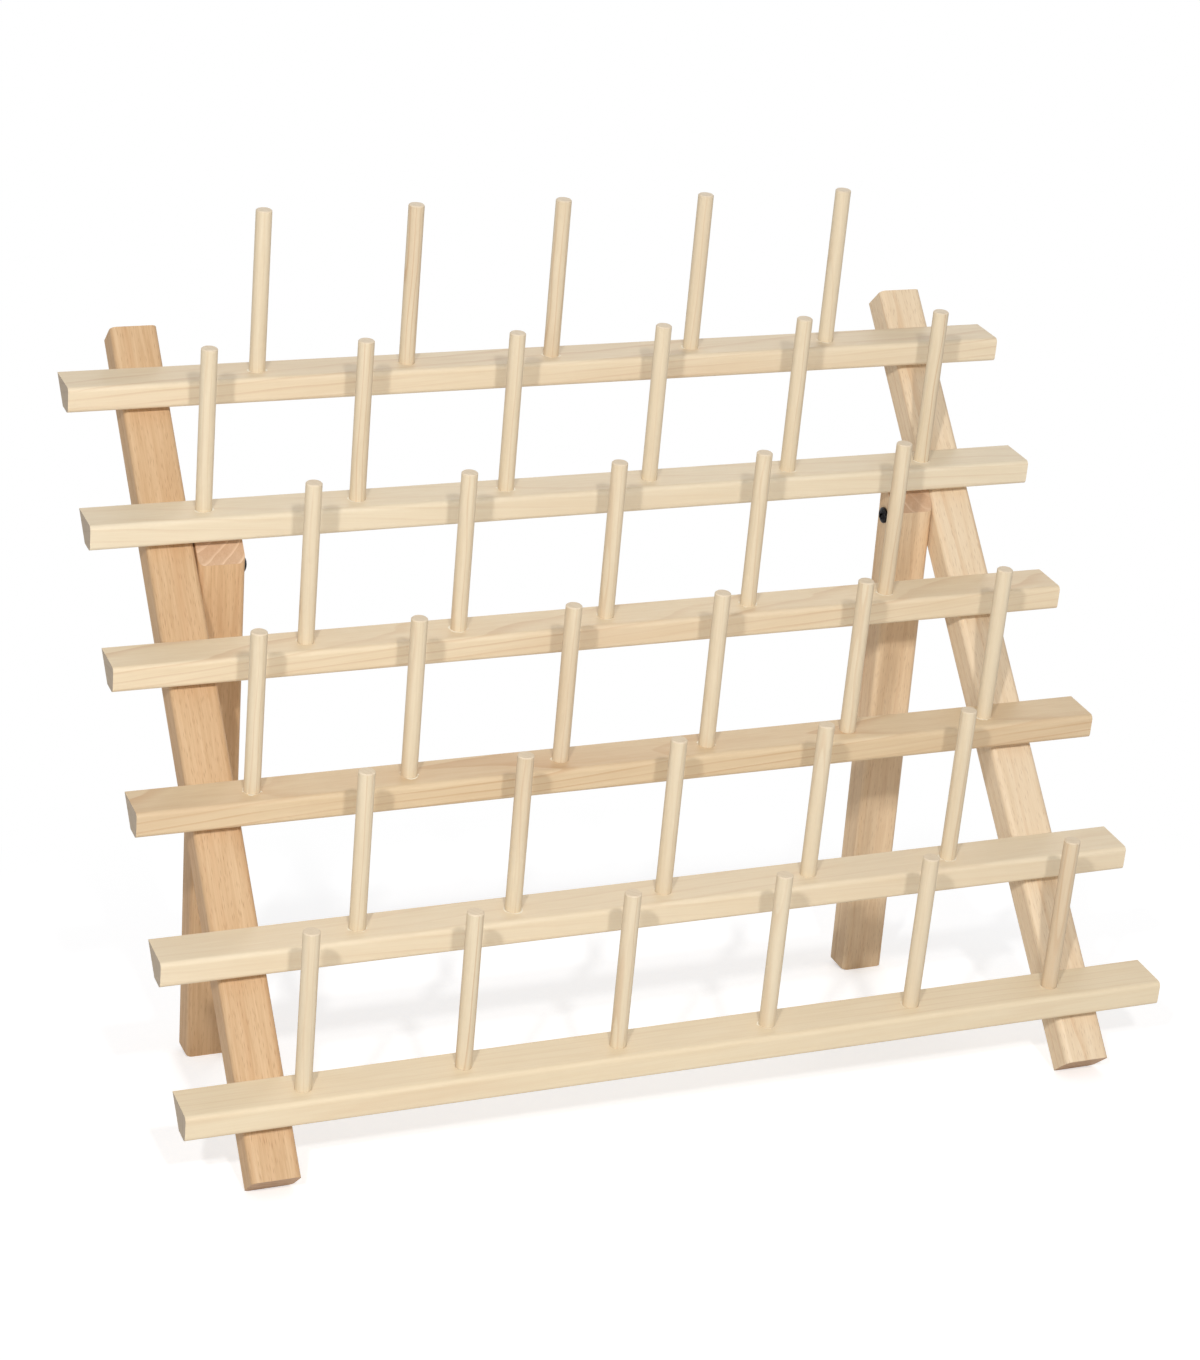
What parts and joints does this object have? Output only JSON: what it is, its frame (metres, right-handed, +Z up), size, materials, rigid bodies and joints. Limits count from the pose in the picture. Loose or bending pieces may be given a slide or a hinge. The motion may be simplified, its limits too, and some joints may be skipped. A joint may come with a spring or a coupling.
{
  "type": "cone thread rack",
  "caption": "Leaning wooden rack of bevel-backed rails with rows of upright pegs for thread cones, propped by a pair of folding rear legs.",
  "frame": {"origin": "on the floor, under the middle of the rack's box", "axes": "+X along the rails to the right seen from the front, +Y to the back, +Z up; the pegs' side faces -Y"},
  "size_m": [0.495, 0.2394, 0.4262],
  "materials": {
    "rail_wood": "sanded, thin clear finish",
    "peg_wood": "bare birch dowel",
    "frame_wood": "sanded beech, thin clear finish",
    "screw_black": "black, satin"
  },
  "bodies": {
    "rack": {"left_upright": "frame_wood", "right_upright": "frame_wood", "left_pivot_screw": "screw_black", "right_pivot_screw": "screw_black", "rail_screws": "screw_black", "rail_1": "rail_wood", "rail_2": "rail_wood", "rail_3": "rail_wood", "rail_4": "rail_wood", "rail_5": "rail_wood", "rail_6": "rail_wood", "peg_1_1": "peg_wood", "peg_1_2": "peg_wood", "peg_1_3": "peg_wood", "peg_1_4": "peg_wood", "peg_1_5": "peg_wood", "peg_2_1": "peg_wood", "peg_2_2": "peg_wood", "peg_2_3": "peg_wood", "peg_2_4": "peg_wood", "peg_2_5": "peg_wood", "peg_2_6": "peg_wood", "peg_3_1": "peg_wood", "peg_3_2": "peg_wood", "peg_3_3": "peg_wood", "peg_3_4": "peg_wood", "peg_3_5": "peg_wood", "peg_4_1": "peg_wood", "peg_4_2": "peg_wood", "peg_4_3": "peg_wood", "peg_4_4": "peg_wood", "peg_4_5": "peg_wood", "peg_4_6": "peg_wood", "peg_5_1": "peg_wood", "peg_5_2": "peg_wood", "peg_5_3": "peg_wood", "peg_5_4": "peg_wood", "peg_5_5": "peg_wood", "peg_6_1": "peg_wood", "peg_6_2": "peg_wood", "peg_6_3": "peg_wood", "peg_6_4": "peg_wood", "peg_6_5": "peg_wood", "peg_6_6": "peg_wood"},
    "left_leg": {"left_leg": "frame_wood"},
    "right_leg": {"right_leg": "frame_wood"}
  },
  "joints": [
    {"name": "left_leg_fold", "type": "hinge", "parent": "rack", "child": "left_leg", "pos_m": [-0.1835, 0.04998, 0.25841], "axis": [-1, 0, 0], "range_deg": [0, 42]},
    {"name": "right_leg_fold", "type": "hinge", "parent": "rack", "child": "right_leg", "pos_m": [0.1835, 0.04998, 0.25841], "axis": [-1, 0, 0], "range_deg": [0, 42]}
  ]
}
